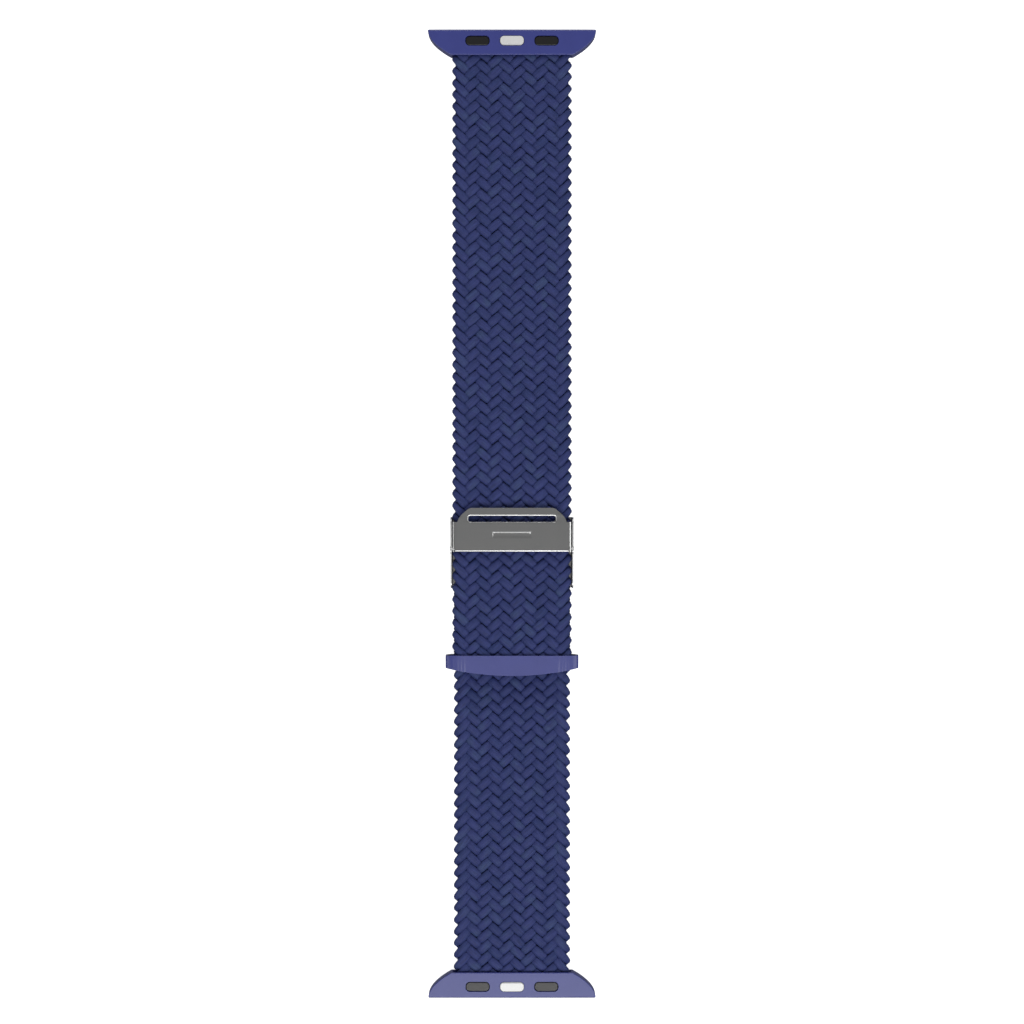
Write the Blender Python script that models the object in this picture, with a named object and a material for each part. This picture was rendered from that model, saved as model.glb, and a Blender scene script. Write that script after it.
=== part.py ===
"""A braided watch band: two nylon straps, a steel flip buckle, a sliding keeper and two lug adapters.

The band lies flat, its outer face up. X runs across the band, +Y towards the upper lug, +Z up.
The short lower strap is riveted into the buckle base. The long upper strap lies above it, slides
through the buckle under a hinged lever, and ends in the keeper, which runs along the lower strap.
Metres throughout; MM turns millimetres into metres.
"""

import math
from collections import namedtuple

import bmesh
import bpy

MM = 0.001

# Whole band
LUG_END = {"upper": 89.0 * MM, "lower": 89.7 * MM}      # how far each lug reaches along Y
FIXED_GAP = 0.1 * MM         # between neighbours that don't move
RUNNING_GAP = 0.15 * MM      # between neighbours that slide
PIN_GAP = 0.05 * MM          # round a pin in its hole
OVERCUT = 1.0 * MM           # how far a cutter reaches past the face it opens

# Straps
UPPER_HALF_WIDTH = 10.9 * MM
LOWER_HALF_WIDTH = 10.65 * MM
STRAP_THICKNESS = 2.1 * MM
STRAP_EDGE_RADIUS = 0.9 * MM

# Buckle, measured down from the long strap's side of the base
BUCKLE_TOP_Y = -0.7 * MM
BUCKLE_END_Y = -13.8 * MM
BUCKLE_STEP_Y = -7.4 * MM    # the walls are lower past this line
FLOOR_THICKNESS = 0.5 * MM
WALL_INNER_X = 11.05 * MM
WALL_THICKNESS = 0.4 * MM
WALL_HIGH_Z = 6.9 * MM
WALL_LOW_Z = 5.2 * MM
GRIP_THICKNESS = 0.4 * MM

# Stack of levels, from the buckle's floor up
LOWER_STRAP_Z = FLOOR_THICKNESS + FIXED_GAP
GRIP_Z = LOWER_STRAP_Z + STRAP_THICKNESS + FIXED_GAP
UPPER_STRAP_Z = GRIP_Z + GRIP_THICKNESS + RUNNING_GAP
UPPER_STRAP_TOP = UPPER_STRAP_Z + STRAP_THICKNESS

# Lever
HINGE_Y = -6.45 * MM
HINGE_Z = 6.2 * MM
HINGE_PIN_RADIUS = 0.35 * MM
BARREL_RADIUS = 0.65 * MM
LEVER_TOP_Z = 6.95 * MM
LEVER_THICKNESS = 0.6 * MM
LEVER_HALF_WIDTH = WALL_INNER_X - 0.08 * MM
LEVER_BEND = (1.05 * MM, 0.65 * MM)      # across and down, outside the bend
LEVER_SKIRT_Z = 5.6 * MM
LEVER_TIP_Y = 1.0 * MM
LEVER_TIP_HALF = 7.27 * MM       # the straight run of its finger edge
LEVER_TIP_RADIUS = 1.44 * MM
LEVER_TAPER = 45                 # degrees where the rounded corner meets the bowed flank
LEVER_FLANK = (9.8 * MM, -0.55 * MM)     # the bow of the flank aims at this point
LEVER_SHOULDER = (10.0 * MM, -1.5 * MM)
LEVER_SKIRT_Y = -1.6 * MM        # the bent-down sides end here
FINGER_SLOT = (16.0 * MM, 1.0 * MM)
FINGER_SLOT_Y = -1.03 * MM
LEVER_RECESS = (7.8 * MM, 1.3 * MM)
LEVER_RECESS_Y = -3.98 * MM
LEVER_RECESS_DEPTH = 0.15 * MM
TOOTH_COUNT = 13
TOOTH_PITCH = 1.5 * MM
TOOTH_Y = (-5.75 * MM, -4.75 * MM)
CAM_HALF_WIDTH = 9.6 * MM
CAM_Z = 5.85 * MM

# Keeper
KEEPER_TOP_Y = -26.2 * MM
KEEPER_END_DEPTH = 2.3 * MM      # along Y at its two ends
KEEPER_DEPTH = 3.7 * MM          # along Y at its middle
KEEPER_HALF_WIDTH = 12.25 * MM
KEEPER_WALL = 0.45 * MM
KEEPER_TOP_Z = UPPER_STRAP_TOP + RUNNING_GAP + KEEPER_WALL
KEEPER_CORNER = 2.2 * MM
KEEPER_INNER_CORNER = 1.4 * MM
KEEPER_POCKET_Y = -28.1 * MM     # the front lip closes the upper strap's pocket here
UPPER_STRAP_END_Y = KEEPER_POCKET_Y + FIXED_GAP
CLAMP_THICKNESS = 0.35 * MM
CLAMP_Y = (-28.0 * MM, -26.4 * MM)
CLAMP_PIN_X = 6.0 * MM
CLAMP_PIN_Y = -27.2 * MM
CLAMP_PIN_RADIUS = 0.4 * MM

# Rivets of the lower strap in the buckle
RIVET_X = 6.0 * MM
RIVET_Y = -10.2 * MM
RIVET_RADIUS = 0.8 * MM
RIVET_HEAD_RADIUS = 1.3 * MM
RIVET_HEAD = 0.3 * MM
LOWER_STRAP_END_Y = -1.3 * MM

# Lugs: u is the distance in from a lug's outer end face
LUG_THICKNESS = 3.3 * MM
LUG_DEPTH = 4.7 * MM
LUG_HALF = 15.5 * MM
LUG_NECK_HALF = 11.25 * MM
LUG_CORNER = 0.3 * MM
SLOT_SIZE = (4.5 * MM, 1.85 * MM)
SLOT_RADIUS = 0.8 * MM
SLOT_PITCH = 6.35 * MM
SLOT_U = 2.1 * MM
PAD_POCKET_DEPTH = 1.0 * MM
PAD_RECESS = 0.15 * MM
SOCKET_U = 3.35 * MM
SOCKET_HALF_WIDTH = 11.05 * MM
SOCKET_HALF_HEIGHT = 1.1 * MM
SOCKET_RADIUS = 0.9 * MM
TONGUE_U = (3.6 * MM, 4.4 * MM)
TONGUE_HALF = 0.6 * MM
CRIMP_U = (3.4 * MM, 4.3 * MM)
CRIMP_HALF = 0.87 * MM
CRIMP_WALL = 0.15 * MM
CRIMP_HALF_WIDTH = 10.4 * MM
DOWEL_X = 9.0 * MM
DOWEL_U = 3.95 * MM
DOWEL_RADIUS = 0.25 * MM
DOWEL_TOP_DEPTH = 0.3 * MM       # how far a dowel enters the front wall

# Lock of each lug: levels above the lug's back face
LOCK_POCKET_HALF = 2.7 * MM
LOCK_POCKET_Z = 2.1 * MM
LOCK_COVER_Z = 0.45 * MM
LOCK_SPRING_Z = (0.5 * MM, 1.45 * MM)
LOCK_SPRING_SHEET = 0.12 * MM
LOCK_FLANGE_Z = (1.5 * MM, 2.05 * MM)
LOCK_FLANGE_HALF = 2.55 * MM
LOCK_PROUD = 0.15 * MM

ROUND_SIDES = 24

Side = namedtuple("Side", "name sign bottom body lock")


# Scene and materials


def clear_scene():
    for obj in list(bpy.data.objects):
        bpy.data.objects.remove(obj)


def material(name, colour, roughness, metallic):
    made = bpy.data.materials.new(name)
    made.use_nodes = True
    shader = made.node_tree.nodes["Principled BSDF"]
    shader.inputs["Base Color"].default_value = (*colour, 1.0)
    shader.inputs["Roughness"].default_value = roughness
    shader.inputs["Metallic"].default_value = metallic
    made.diffuse_color = (*colour, 1.0)
    return made


def body_empty(name, place=(0, 0, 0)):
    """An empty on a moving body's joint axis, which its pieces are parented to."""
    empty = bpy.data.objects.new(name, None)
    empty.location = place
    empty.empty_display_size = 4 * MM
    bpy.context.scene.collection.objects.link(empty)
    return empty


# Outlines: lists of (a, b) points, counter-clockwise


def arc(centre, radii, start, end, steps):
    """Points along an elliptical arc, angles in degrees."""
    points = []
    for i in range(steps + 1):
        angle = math.radians(start + (end - start) * i / steps)
        points.append((centre[0] + radii[0] * math.cos(angle),
                       centre[1] + radii[1] * math.sin(angle)))
    return points


def rectangle(a, b):
    return [(a[0], b[0]), (a[1], b[0]), (a[1], b[1]), (a[0], b[1])]


def rounded_rectangle(centre, half, radius, steps=5):
    points = []
    for quarter, (sa, sb) in enumerate([(1, 1), (-1, 1), (-1, -1), (1, -1)]):
        corner = (centre[0] + sa * (half[0] - radius), centre[1] + sb * (half[1] - radius))
        points += arc(corner, (radius, radius), 90 * quarter, 90 * quarter + 90, steps)
    return points


def bowed(start, towards, end, steps):
    """Points along a curve that leaves start and reaches end aimed at the same point."""
    points = []
    for i in range(steps + 1):
        t = i / steps
        points.append(tuple((1 - t) ** 2 * a + 2 * t * (1 - t) * b + t * t * c
                            for a, b, c in zip(start, towards, end)))
    return points


def mirrored(right):
    """A full outline from its right half, whose points run from the bottom up."""
    return right + [(-a, b) for a, b in reversed(right)]


# Solids


def swept(outline, low, high, axis="Z"):
    """An outline swept along an axis. Its points are (x, y) for Z, (x, z) for Y and (y, z) for X."""
    def place(a, b, level):
        return {"Z": (a, b, level), "Y": (a, level, b), "X": (level, a, b)}[axis]

    mesh = bmesh.new()
    rings = [[mesh.verts.new(place(a, b, level)) for a, b in outline] for level in (low, high)]
    mesh.faces.new(rings[0])
    mesh.faces.new(rings[1])
    count = len(outline)
    for i in range(count):
        j = (i + 1) % count
        mesh.faces.new((rings[0][i], rings[0][j], rings[1][j], rings[1][i]))
    bmesh.ops.recalc_face_normals(mesh, faces=mesh.faces)
    return mesh


def lofted(sections):
    """A closed solid through rings of points, each given as a list of (x, y, z)."""
    mesh = bmesh.new()
    rings = [[mesh.verts.new(point) for point in ring] for ring in sections]
    for low, high in zip(rings, rings[1:]):
        for i in range(len(low)):
            j = (i + 1) % len(low)
            mesh.faces.new((low[i], low[j], high[j], high[i]))
    mesh.faces.new(rings[0])
    mesh.faces.new(rings[-1])
    bmesh.ops.recalc_face_normals(mesh, faces=mesh.faces)
    return mesh


def cuboid(x, y, z):
    return swept(rectangle(x, y), z[0], z[1])


def rod(centre, radius, span, axis="Z"):
    """A cylinder along an axis; centre is its two other coordinates, span its ends."""
    return swept(arc(centre, (radius, radius), 0, 360 - 360 / ROUND_SIDES, ROUND_SIDES - 1),
                 span[0], span[1], axis)


def piece(name, mesh, surface, body):
    """A named object from a mesh in world coordinates, parented to its body's empty."""
    data = bpy.data.meshes.new(name)
    for vert in mesh.verts:
        vert.co -= body.location
    mesh.to_mesh(data)
    mesh.free()
    data.materials.append(surface)
    data.shade_smooth()
    data.set_sharp_from_angle(angle=math.radians(30))
    obj = bpy.data.objects.new(name, data)
    obj.parent = body
    bpy.context.scene.collection.objects.link(obj)
    return obj


def boolean(obj, mesh, operation="DIFFERENCE"):
    """Adds a Boolean with a hidden helper made from a mesh in world coordinates."""
    label = f"{obj.name}.helper{len(obj.modifiers)}"
    data = bpy.data.meshes.new(label)
    for vert in mesh.verts:
        vert.co -= obj.parent.location
    mesh.to_mesh(data)
    mesh.free()
    helper = bpy.data.objects.new(label, data)
    helper.parent = obj.parent
    helper.hide_render = True
    helper.display_type = "WIRE"
    bpy.context.scene.collection.objects.link(helper)
    modifier = obj.modifiers.new(label, "BOOLEAN")
    modifier.operation = operation
    modifier.object = helper
    modifier.solver = "EXACT"


def bevelled(obj, width, segments=2, angle=40):
    modifier = obj.modifiers.new("edge", "BEVEL")
    modifier.width = width
    modifier.segments = segments
    modifier.limit_method = "ANGLE"
    modifier.angle_limit = math.radians(angle)


# Straps


def strap_section(y, middle_z, half_width, half_height):
    """A ring of the strap's round-edged section at y."""
    radius = min(STRAP_EDGE_RADIUS, half_height * 0.9)
    outline = rounded_rectangle((0, middle_z), (half_width, half_height), radius, 3)
    return [(x, y, z) for x, z in outline]


def strap(side, bottom, half_width, plain_end, surface):
    """A strap at full height from its plain end to near its lug, then a thin pressed tongue."""
    middle = bottom + STRAP_THICKNESS / 2
    tongue, tip = lug_y(side, TONGUE_U[1]), lug_y(side, TONGUE_U[0])
    step = side.sign * 0.02 * MM
    sections = [strap_section(plain_end, middle, half_width, STRAP_THICKNESS / 2),
                strap_section(tongue, middle, half_width, STRAP_THICKNESS / 2),
                strap_section(tongue + step, middle, half_width, TONGUE_HALF),
                strap_section(tip, middle, half_width, TONGUE_HALF)]
    obj = piece(f"{side.name}_strap", lofted(sections), surface, side.body)
    pierce(obj, dowel_places(side), DOWEL_RADIUS + PIN_GAP, (side.bottom, side.bottom + LUG_THICKNESS))
    return obj


def pierce(obj, places, radius, span):
    for centre in places:
        boolean(obj, rod(centre, radius, span))


# Lugs


def lug_y(side, u):
    return side.sign * (LUG_END[side.name] - u)


def lug_half_width(u):
    """The lug narrows from its outer end to its neck along a parabola."""
    return LUG_HALF - (LUG_HALF - LUG_NECK_HALF) * (u / LUG_DEPTH) ** 2


def lug_outline(side):
    steps = 10
    flank = [LUG_CORNER + (LUG_DEPTH - LUG_CORNER) * i / steps for i in range(steps + 1)]
    right = [(LUG_HALF - LUG_CORNER, lug_y(side, 0.0))]
    right += [(lug_half_width(u), lug_y(side, u)) for u in flank]
    return mirrored(right)


def slot_outline(side, x, shrink=0.0):
    half = (SLOT_SIZE[0] / 2 - shrink, SLOT_SIZE[1] / 2 - shrink)
    return rounded_rectangle((x, lug_y(side, SLOT_U)), half, SLOT_RADIUS - shrink)


def y_span(side, u_low, u_high):
    return sorted((lug_y(side, u_low), lug_y(side, u_high)))


def lug_body(side, surface):
    face = side.bottom + LUG_THICKNESS
    middle = side.bottom + LUG_THICKNESS / 2
    slot_u = (SLOT_U - SLOT_SIZE[1] / 2, SLOT_U + SLOT_SIZE[1] / 2)
    obj = piece(f"{side.name}_lug_body", swept(lug_outline(side), side.bottom, face),
                surface, side.body)
    bevelled(obj, 0.25 * MM)
    for x in (-SLOT_PITCH, SLOT_PITCH):
        boolean(obj, swept(slot_outline(side, x), face - PAD_POCKET_DEPTH, face + OVERCUT))
    boolean(obj, swept(slot_outline(side, 0.0), side.bottom + LOCK_POCKET_Z - FIXED_GAP, face + OVERCUT))
    boolean(obj, cuboid((-LOCK_POCKET_HALF, LOCK_POCKET_HALF), y_span(side, *slot_u),
                        (side.bottom - OVERCUT, side.bottom + LOCK_POCKET_Z)))
    socket = rounded_rectangle((0, middle), (SOCKET_HALF_WIDTH, SOCKET_HALF_HEIGHT), SOCKET_RADIUS, 3)
    boolean(obj, swept(socket, *y_span(side, SOCKET_U, LUG_DEPTH + OVERCUT), "Y"))
    pierce(obj, dowel_places(side), DOWEL_RADIUS + PIN_GAP,
           (side.bottom - OVERCUT, dowel_top(side) + PIN_GAP))


def dowel_places(side):
    return [(x, lug_y(side, DOWEL_U)) for x in (-DOWEL_X, DOWEL_X)]


def dowel_top(side):
    return side.bottom + LUG_THICKNESS / 2 + SOCKET_HALF_HEIGHT + DOWEL_TOP_DEPTH


def dowels(side, surface):
    for label, centre in zip(("left", "right"), dowel_places(side)):
        span = (side.bottom + PIN_GAP, dowel_top(side))
        piece(f"{side.name}_dowel_{label}", rod(centre, DOWEL_RADIUS, span), surface, side.body)


def end_crimp(side, surface):
    """A folded clip round the strap's pressed tongue, open towards the strap."""
    middle = side.bottom + LUG_THICKNESS / 2
    obj = piece(f"{side.name}_end_crimp",
                cuboid((-CRIMP_HALF_WIDTH, CRIMP_HALF_WIDTH), y_span(side, *CRIMP_U),
                       (middle - CRIMP_HALF, middle + CRIMP_HALF)), surface, side.body)
    inner = CRIMP_HALF - CRIMP_WALL
    boolean(obj, cuboid((-CRIMP_HALF_WIDTH - OVERCUT, CRIMP_HALF_WIDTH + OVERCUT),
                        y_span(side, CRIMP_U[0] + CRIMP_WALL, CRIMP_U[1] + OVERCUT),
                        (middle - inner, middle + inner)))
    pierce(obj, dowel_places(side), DOWEL_RADIUS + PIN_GAP, (side.bottom, side.bottom + LUG_THICKNESS))


def pads(side, surface):
    face = side.bottom + LUG_THICKNESS
    for label, x in (("left", -SLOT_PITCH), ("right", SLOT_PITCH)):
        piece(f"{side.name}_pad_{label}",
              swept(slot_outline(side, x, FIXED_GAP), face - PAD_POCKET_DEPTH + FIXED_GAP,
                    face - PAD_RECESS),
              surface, side.body)


def lock_button(side, surface):
    """A sprung latch: a flange under the lug's front wall and a tongue with a sloped strap side."""
    face = side.bottom + LUG_THICKNESS
    obj = piece(f"{side.name}_lock_button",
                swept(slot_outline(side, 0.0, FIXED_GAP), side.bottom + LOCK_FLANGE_Z[0],
                      face + LOCK_PROUD),
                surface, side.lock)
    half = SLOT_SIZE[1] / 2 - FIXED_GAP
    boolean(obj, cuboid((-LOCK_FLANGE_HALF, LOCK_FLANGE_HALF),
                        y_span(side, SLOT_U - half, SLOT_U + half),
                        [side.bottom + level for level in LOCK_FLANGE_Z]), "UNION")
    ramp = [(lug_y(side, SLOT_U + 0.3 * MM), face + OVERCUT),
            (lug_y(side, SLOT_U + 0.3 * MM), face + LOCK_PROUD),
            (lug_y(side, SLOT_U + half + 0.1 * MM), face - 0.45 * MM),
            (lug_y(side, SLOT_U + half + OVERCUT), face - 0.45 * MM),
            (lug_y(side, SLOT_U + half + OVERCUT), face + OVERCUT)]
    boolean(obj, swept(ramp, -LOCK_FLANGE_HALF, LOCK_FLANGE_HALF, "X"))


def lock_cover(side, surface):
    half = SLOT_SIZE[1] / 2 - PIN_GAP
    piece(f"{side.name}_lock_cover",
          cuboid((-LOCK_POCKET_HALF + PIN_GAP, LOCK_POCKET_HALF - PIN_GAP),
                 y_span(side, SLOT_U - half, SLOT_U + half), (side.bottom, side.bottom + LOCK_COVER_Z)),
          surface, side.body)


def lock_spring(side, surface):
    """An arched leaf between the cover and the button's flange."""
    low, high = (side.bottom + level for level in LOCK_SPRING_Z)
    half, rise = 2.2 * MM, high - low - LOCK_SPRING_SHEET
    crown = [(half * i / 8, low + rise * math.cos(math.pi * i / 16)) for i in range(-8, 9)]
    outline = crown + [(x, z + LOCK_SPRING_SHEET) for x, z in reversed(crown)]
    middle = lug_y(side, SLOT_U)
    piece(f"{side.name}_lock_spring", swept(outline, middle - 0.5 * MM, middle + 0.5 * MM, "Y"),
          surface, side.body)


def lug(side, blue, steel, rubber, bright):
    lug_body(side, blue)
    pads(side, rubber)
    lock_button(side, bright)
    lock_cover(side, steel)
    lock_spring(side, bright)
    end_crimp(side, steel)
    dowels(side, steel)


# Buckle


def buckle_base(surface, body):
    """A folded channel: floor and two walls, high round the hinge and low past it."""
    outer = WALL_INNER_X + WALL_THICKNESS
    bend = 0.7 * MM
    right = arc((outer - bend, bend), (bend, bend), -90, 0, 4)
    right += [(outer, WALL_HIGH_Z), (WALL_INNER_X, WALL_HIGH_Z), (WALL_INNER_X, FLOOR_THICKNESS)]
    obj = piece("buckle_base", swept(mirrored(right), BUCKLE_END_Y, BUCKLE_TOP_Y, "Y"), surface, body)
    side = [(BUCKLE_END_Y, -OVERCUT), (BUCKLE_TOP_Y, -OVERCUT)]
    side += arc((BUCKLE_TOP_Y - 1.2 * MM, WALL_HIGH_Z - 1.2 * MM), (1.2 * MM, 1.2 * MM), 0, 90, 5)
    side += arc((BUCKLE_STEP_Y + 0.5 * MM, WALL_HIGH_Z - 0.5 * MM), (0.5 * MM, 0.5 * MM), 90, 180, 4)
    side += [(BUCKLE_STEP_Y, WALL_LOW_Z)]
    side += arc((BUCKLE_END_Y + 1.0 * MM, WALL_LOW_Z - 1.0 * MM), (1.0 * MM, 1.0 * MM), 90, 180, 5)
    boolean(obj, swept(side, -outer - OVERCUT, outer + OVERCUT, "X"), "INTERSECT")
    boolean(obj, rod((HINGE_Y, HINGE_Z), HINGE_PIN_RADIUS + PIN_GAP,
                     (-outer - OVERCUT, outer + OVERCUT), "X"))
    pierce(obj, rivet_places(), RIVET_RADIUS + PIN_GAP, (-OVERCUT, FLOOR_THICKNESS + OVERCUT))
    pierce(obj, rivet_places(), RIVET_HEAD_RADIUS + PIN_GAP, (-OVERCUT, RIVET_HEAD + PIN_GAP))


def rivet_places():
    return [(x, RIVET_Y) for x in (-RIVET_X, RIVET_X)]


def grip_plate(surface, body):
    """A plate on the lower strap's end; a serrated band faces the lever's teeth."""
    obj = piece("buckle_grip_plate",
                cuboid((-UPPER_HALF_WIDTH, UPPER_HALF_WIDTH),
                       (BUCKLE_END_Y + 0.4 * MM, BUCKLE_TOP_Y - 0.3 * MM),
                       (GRIP_Z, GRIP_Z + GRIP_THICKNESS)), surface, body)
    top = GRIP_Z + GRIP_THICKNESS
    for i in range(3):
        y = TOOTH_Y[0] + (i + 0.5) * (TOOTH_Y[1] - TOOTH_Y[0]) / 3
        groove = [(y - 0.12 * MM, top + 0.2 * MM), (y, top - 0.15 * MM), (y + 0.12 * MM, top + 0.2 * MM)]
        boolean(obj, swept(groove, -8.0 * MM, 8.0 * MM, "X"))
    pierce(obj, rivet_places(), RIVET_RADIUS + PIN_GAP, (GRIP_Z - OVERCUT, top + OVERCUT))


def rivets(surface, body):
    for label, centre in zip(("left", "right"), rivet_places()):
        span = (0.1 * MM, GRIP_Z + GRIP_THICKNESS - PIN_GAP)
        obj = piece(f"buckle_rivet_{label}", rod(centre, RIVET_RADIUS, span), surface, body)
        boolean(obj, rod(centre, RIVET_HEAD_RADIUS, (PIN_GAP, RIVET_HEAD)), "UNION")


def hinge_pin(surface, body):
    reach = WALL_INNER_X + WALL_THICKNESS
    piece("buckle_hinge_pin", rod((HINGE_Y, HINGE_Z), HINGE_PIN_RADIUS, (-reach, reach), "X"),
          surface, body)


def lever_section():
    """The lever seen along Y: a flat plate whose two sides bend down."""
    inner = tuple(radius - LEVER_THICKNESS for radius in LEVER_BEND)
    bend = (LEVER_HALF_WIDTH - LEVER_BEND[0], LEVER_TOP_Z - LEVER_BEND[1])
    right = arc(bend, inner, 90, 0, 4)
    right += [(LEVER_HALF_WIDTH - LEVER_THICKNESS, LEVER_SKIRT_Z), (LEVER_HALF_WIDTH, LEVER_SKIRT_Z)]
    right += arc(bend, LEVER_BEND, 0, 90, 7)
    return mirrored(right)


def lever_plan():
    """The lever seen from above: a tapered finger end, then full width back to the hinge."""
    back = HINGE_Y - BARREL_RADIUS
    wide = LEVER_HALF_WIDTH + OVERCUT
    right = [(wide, back - OVERCUT), (wide, LEVER_SKIRT_Y), (LEVER_SHOULDER[0], LEVER_SKIRT_Y)]
    corner = arc((LEVER_TIP_HALF, LEVER_TIP_Y - LEVER_TIP_RADIUS),
                 (LEVER_TIP_RADIUS, LEVER_TIP_RADIUS), LEVER_TAPER, 90, 5)
    right += bowed(LEVER_SHOULDER, LEVER_FLANK, corner[0], 6)[:-1]
    return mirrored(right + corner)


def lever_side():
    """The lever seen along X: round the hinge barrel, flat above, with a soft back edge."""
    edge = 0.25 * MM
    back = HINGE_Y - BARREL_RADIUS
    ahead = LEVER_TIP_Y + OVERCUT
    outline = arc((HINGE_Y, HINGE_Z), (BARREL_RADIUS, BARREL_RADIUS), 180, 270, 6)
    outline += [(ahead, HINGE_Z - BARREL_RADIUS), (ahead, LEVER_TOP_Z + OVERCUT),
                (back + edge + OVERCUT, LEVER_TOP_Z + OVERCUT), (back + edge, LEVER_TOP_Z)]
    outline += [(back, LEVER_TOP_Z - edge)]
    return outline


def lever(surface, body):
    obj = piece("buckle_lever", swept(lever_section(), HINGE_Y - BARREL_RADIUS, LEVER_TIP_Y, "Y"),
                surface, body)
    boolean(obj, swept(lever_plan(), LEVER_SKIRT_Z - OVERCUT, LEVER_TOP_Z + OVERCUT), "INTERSECT")
    inside = LEVER_HALF_WIDTH - LEVER_THICKNESS / 2
    boolean(obj, rod((HINGE_Y, HINGE_Z), BARREL_RADIUS - 0.01 * MM, (-inside, inside), "X"), "UNION")
    cam_top = LEVER_TOP_Z - LEVER_THICKNESS / 2
    boolean(obj, cuboid((-CAM_HALF_WIDTH, CAM_HALF_WIDTH), TOOTH_Y, (CAM_Z, cam_top)), "UNION")
    for i in range(TOOTH_COUNT):
        x = (i - (TOOTH_COUNT - 1) / 2) * TOOTH_PITCH
        root_z = CAM_Z + 0.15 * MM
        tooth = [(x - 0.5 * MM, root_z), (x, UPPER_STRAP_TOP + FIXED_GAP), (x + 0.5 * MM, root_z)]
        boolean(obj, swept(tooth, TOOTH_Y[0] + 0.1 * MM, TOOTH_Y[1] - 0.1 * MM, "Y"), "UNION")
    boolean(obj, swept(lever_side(), -WALL_INNER_X - OVERCUT, WALL_INNER_X + OVERCUT, "X"), "INTERSECT")
    boolean(obj, rod((HINGE_Y, HINGE_Z), HINGE_PIN_RADIUS + PIN_GAP,
                     (-WALL_INNER_X, WALL_INNER_X), "X"))
    slot = rounded_rectangle((0, FINGER_SLOT_Y), (FINGER_SLOT[0] / 2, FINGER_SLOT[1] / 2), 0.35 * MM, 4)
    boolean(obj, swept(slot, LEVER_SKIRT_Z, LEVER_TOP_Z + OVERCUT))
    recess = rounded_rectangle((0, LEVER_RECESS_Y), (LEVER_RECESS[0] / 2, LEVER_RECESS[1] / 2),
                               0.6 * MM, 5)
    boolean(obj, swept(recess, LEVER_TOP_Z - LEVER_RECESS_DEPTH, LEVER_TOP_Z + OVERCUT))


# Keeper


def keeper_loop(surface, body):
    """A flat tube round both straps, straight on its upper edge and bowed on its lower one.

    A lip along the bowed edge closes the upper half, where the upper strap ends; the lower strap
    runs through below it.
    """
    middle = KEEPER_TOP_Z / 2
    bowed_y = KEEPER_TOP_Y - KEEPER_DEPTH
    outline = rounded_rectangle((0, middle), (KEEPER_HALF_WIDTH, middle), KEEPER_CORNER, 7)
    obj = piece("keeper_loop", swept(outline, bowed_y, KEEPER_TOP_Y, "Y"), surface, body)
    half_width = KEEPER_HALF_WIDTH - KEEPER_WALL
    inner = rounded_rectangle((0, middle), (half_width, middle - KEEPER_WALL), KEEPER_INNER_CORNER, 5)
    boolean(obj, swept(inner, KEEPER_POCKET_Y, KEEPER_TOP_Y + OVERCUT, "Y"))
    passage_top = LOWER_STRAP_Z + STRAP_THICKNESS + RUNNING_GAP
    passage = rounded_rectangle((0, (KEEPER_WALL + passage_top) / 2),
                                (half_width, (passage_top - KEEPER_WALL) / 2), 0.9 * MM, 4)
    boolean(obj, swept(passage, bowed_y - OVERCUT, KEEPER_TOP_Y + OVERCUT, "Y"))
    bow = [(KEEPER_HALF_WIDTH * i / 12,
            bowed_y + (KEEPER_DEPTH - KEEPER_END_DEPTH) * (i / 12) ** 2)
           for i in range(-12, 13)]
    wide, ahead = KEEPER_HALF_WIDTH + OVERCUT, KEEPER_TOP_Y + OVERCUT
    plan = bow + [(wide, bow[-1][1]), (wide, ahead), (-wide, ahead), (-wide, bow[0][1])]
    boolean(obj, swept(plan, -OVERCUT, KEEPER_TOP_Z + OVERCUT), "INTERSECT")
    pierce(obj, clamp_pin_places(), CLAMP_PIN_RADIUS + PIN_GAP, (UPPER_STRAP_Z, KEEPER_TOP_Z - 0.2 * MM))


def clamp_pin_places():
    return [(x, CLAMP_PIN_Y) for x in (-CLAMP_PIN_X, CLAMP_PIN_X)]


def clamp_low():
    return UPPER_STRAP_Z - FIXED_GAP - CLAMP_THICKNESS


def keeper_clamp(surface, body):
    """A bar under the upper strap's end, and two pins from it up into the keeper."""
    low, high = clamp_low(), clamp_low() + CLAMP_THICKNESS
    reach = KEEPER_HALF_WIDTH - KEEPER_WALL - FIXED_GAP
    obj = piece("keeper_clamp_bar", cuboid((-reach, reach), CLAMP_Y, (low, high)), surface, body)
    pierce(obj, clamp_pin_places(), CLAMP_PIN_RADIUS + PIN_GAP, (low - OVERCUT, high + OVERCUT))
    for label, centre in zip(("left", "right"), clamp_pin_places()):
        piece(f"keeper_pin_{label}",
              rod(centre, CLAMP_PIN_RADIUS, (low, KEEPER_TOP_Z - 0.25 * MM)), surface, body)


# Assembly


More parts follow.
